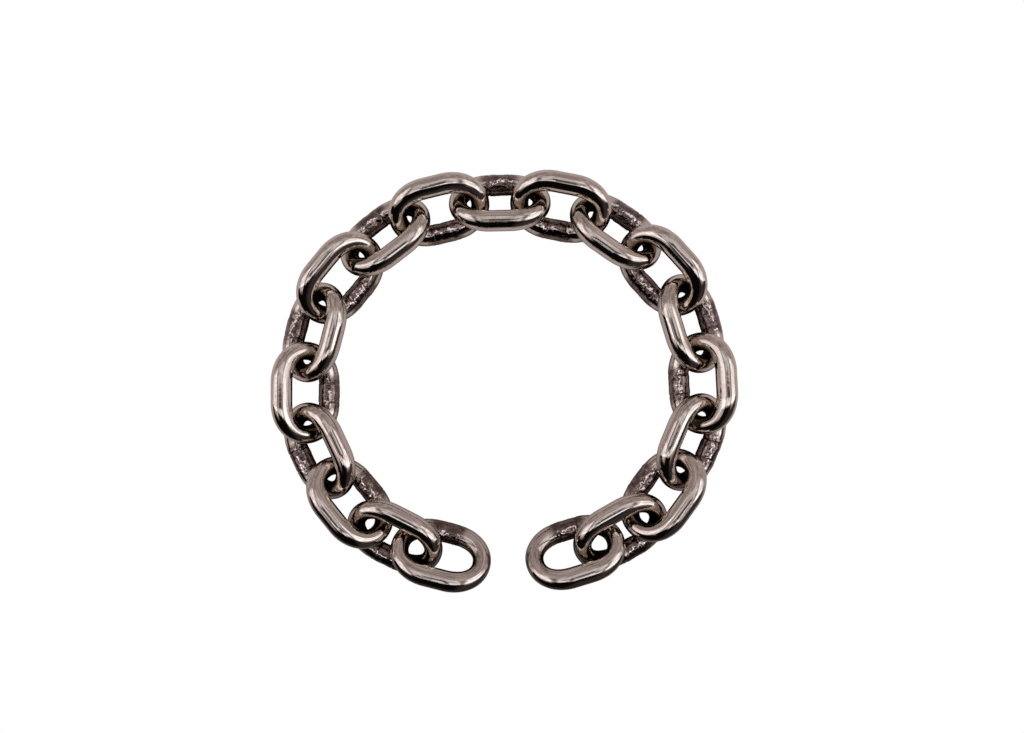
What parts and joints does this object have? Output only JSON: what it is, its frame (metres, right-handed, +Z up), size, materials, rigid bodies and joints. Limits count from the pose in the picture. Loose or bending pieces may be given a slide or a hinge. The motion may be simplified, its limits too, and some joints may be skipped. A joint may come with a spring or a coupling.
{
  "type": "short-link steel chain",
  "caption": "Short length of bright welded short-link chain, laid flat as an open ring with its two ends apart.",
  "frame": {"origin": "on the floor, at the centre of the ring's bounding box", "axes": "+Z up; +X from the left side of the ring to the right; +Y from the open ends to the top link"},
  "size_m": [0.2228, 0.2032, 0.0258],
  "materials": {
    "polished_steel": "mirror-polished bright steel, rougher at the welds"
  },
  "bodies": {
    "link_01": {"link_01": "polished_steel"},
    "link_02": {"link_02": "polished_steel"},
    "link_03": {"link_03": "polished_steel"},
    "link_04": {"link_04": "polished_steel"},
    "link_05": {"link_05": "polished_steel"},
    "link_06": {"link_06": "polished_steel"},
    "link_07": {"link_07": "polished_steel"},
    "link_08": {"link_08": "polished_steel"},
    "link_09": {"link_09": "polished_steel"},
    "link_10": {"link_10": "polished_steel"},
    "link_11": {"link_11": "polished_steel"},
    "link_12": {"link_12": "polished_steel"},
    "link_13": {"link_13": "polished_steel"},
    "link_14": {"link_14": "polished_steel"},
    "link_15": {"link_15": "polished_steel"},
    "link_16": {"link_16": "polished_steel"},
    "link_17": {"link_17": "polished_steel"},
    "link_18": {"link_18": "polished_steel"},
    "link_19": {"link_19": "polished_steel"}
  },
  "joints": [
    {"name": "swing_11", "type": "hinge", "parent": "link_10", "child": "link_11", "pos_m": [0.00945, 0.08604, 0.01175], "axis": [0, 0.5344, 0.8453], "range_deg": [-0.4, 37]},
    {"name": "swing_12", "type": "hinge", "parent": "link_11", "child": "link_12", "pos_m": [0.03879, 0.08086, 0.01295], "axis": [-0.1339, -0.6169, 0.7756], "range_deg": [-0.4, 37]},
    {"name": "swing_13", "type": "hinge", "parent": "link_12", "child": "link_13", "pos_m": [0.06388, 0.06532, 0.0117], "axis": [0.3129, 0.4289, 0.8474], "range_deg": [-0.4, 37]},
    {"name": "swing_14", "type": "hinge", "parent": "link_13", "child": "link_14", "pos_m": [0.08424, 0.04358, 0.01287], "axis": [-0.4736, -0.4077, 0.7807], "range_deg": [-0.4, 37]},
    {"name": "swing_15", "type": "hinge", "parent": "link_14", "child": "link_15", "pos_m": [0.09445, 0.01593, 0.01158], "axis": [0.5011, 0.1412, 0.8538], "range_deg": [-0.4, 37]},
    {"name": "swing_16", "type": "hinge", "parent": "link_15", "child": "link_16", "pos_m": [0.09665, -0.01376, 0.01271], "axis": [-0.612, -0.0177, 0.7907], "range_deg": [-0.4, 37]},
    {"name": "swing_17", "type": "hinge", "parent": "link_16", "child": "link_17", "pos_m": [0.08696, -0.04158, 0.01136], "axis": [0.4604, -0.2031, 0.8642], "range_deg": [-0.4, 37]},
    {"name": "swing_18", "type": "hinge", "parent": "link_17", "child": "link_18", "pos_m": [0.07024, -0.0655, 0.01247], "axis": [-0.4713, 0.3596, 0.8053], "range_deg": [-0.4, 37]},
    {"name": "swing_19", "type": "hinge", "parent": "link_18", "child": "link_19", "pos_m": [0.04681, -0.08019, 0.01105], "axis": [0.2259, -0.4218, 0.8781], "range_deg": [-0.4, 20]},
    {"name": "swing_09", "type": "hinge", "parent": "link_10", "child": "link_09", "pos_m": [-0.00945, 0.08604, 0.01175], "axis": [0, -0.5344, -0.8453], "range_deg": [-0.4, 37]},
    {"name": "swing_08", "type": "hinge", "parent": "link_09", "child": "link_08", "pos_m": [-0.03879, 0.08086, 0.01295], "axis": [-0.1339, 0.6169, -0.7756], "range_deg": [-0.4, 37]},
    {"name": "swing_07", "type": "hinge", "parent": "link_08", "child": "link_07", "pos_m": [-0.06388, 0.06532, 0.0117], "axis": [0.3129, -0.4289, -0.8474], "range_deg": [-0.4, 37]},
    {"name": "swing_06", "type": "hinge", "parent": "link_07", "child": "link_06", "pos_m": [-0.08424, 0.04358, 0.01287], "axis": [-0.4736, 0.4077, -0.7807], "range_deg": [-0.4, 37]},
    {"name": "swing_05", "type": "hinge", "parent": "link_06", "child": "link_05", "pos_m": [-0.09445, 0.01593, 0.01158], "axis": [0.5011, -0.1412, -0.8538], "range_deg": [-0.4, 37]},
    {"name": "swing_04", "type": "hinge", "parent": "link_05", "child": "link_04", "pos_m": [-0.09665, -0.01376, 0.01271], "axis": [-0.612, 0.0177, -0.7907], "range_deg": [-0.4, 37]},
    {"name": "swing_03", "type": "hinge", "parent": "link_04", "child": "link_03", "pos_m": [-0.08696, -0.04158, 0.01136], "axis": [0.4604, 0.2031, -0.8642], "range_deg": [-0.4, 37]},
    {"name": "swing_02", "type": "hinge", "parent": "link_03", "child": "link_02", "pos_m": [-0.07024, -0.0655, 0.01247], "axis": [-0.4713, -0.3596, -0.8053], "range_deg": [-0.4, 37]},
    {"name": "swing_01", "type": "hinge", "parent": "link_02", "child": "link_01", "pos_m": [-0.04681, -0.08019, 0.01105], "axis": [0.2259, 0.4218, -0.8781], "range_deg": [-0.4, 20]}
  ]
}
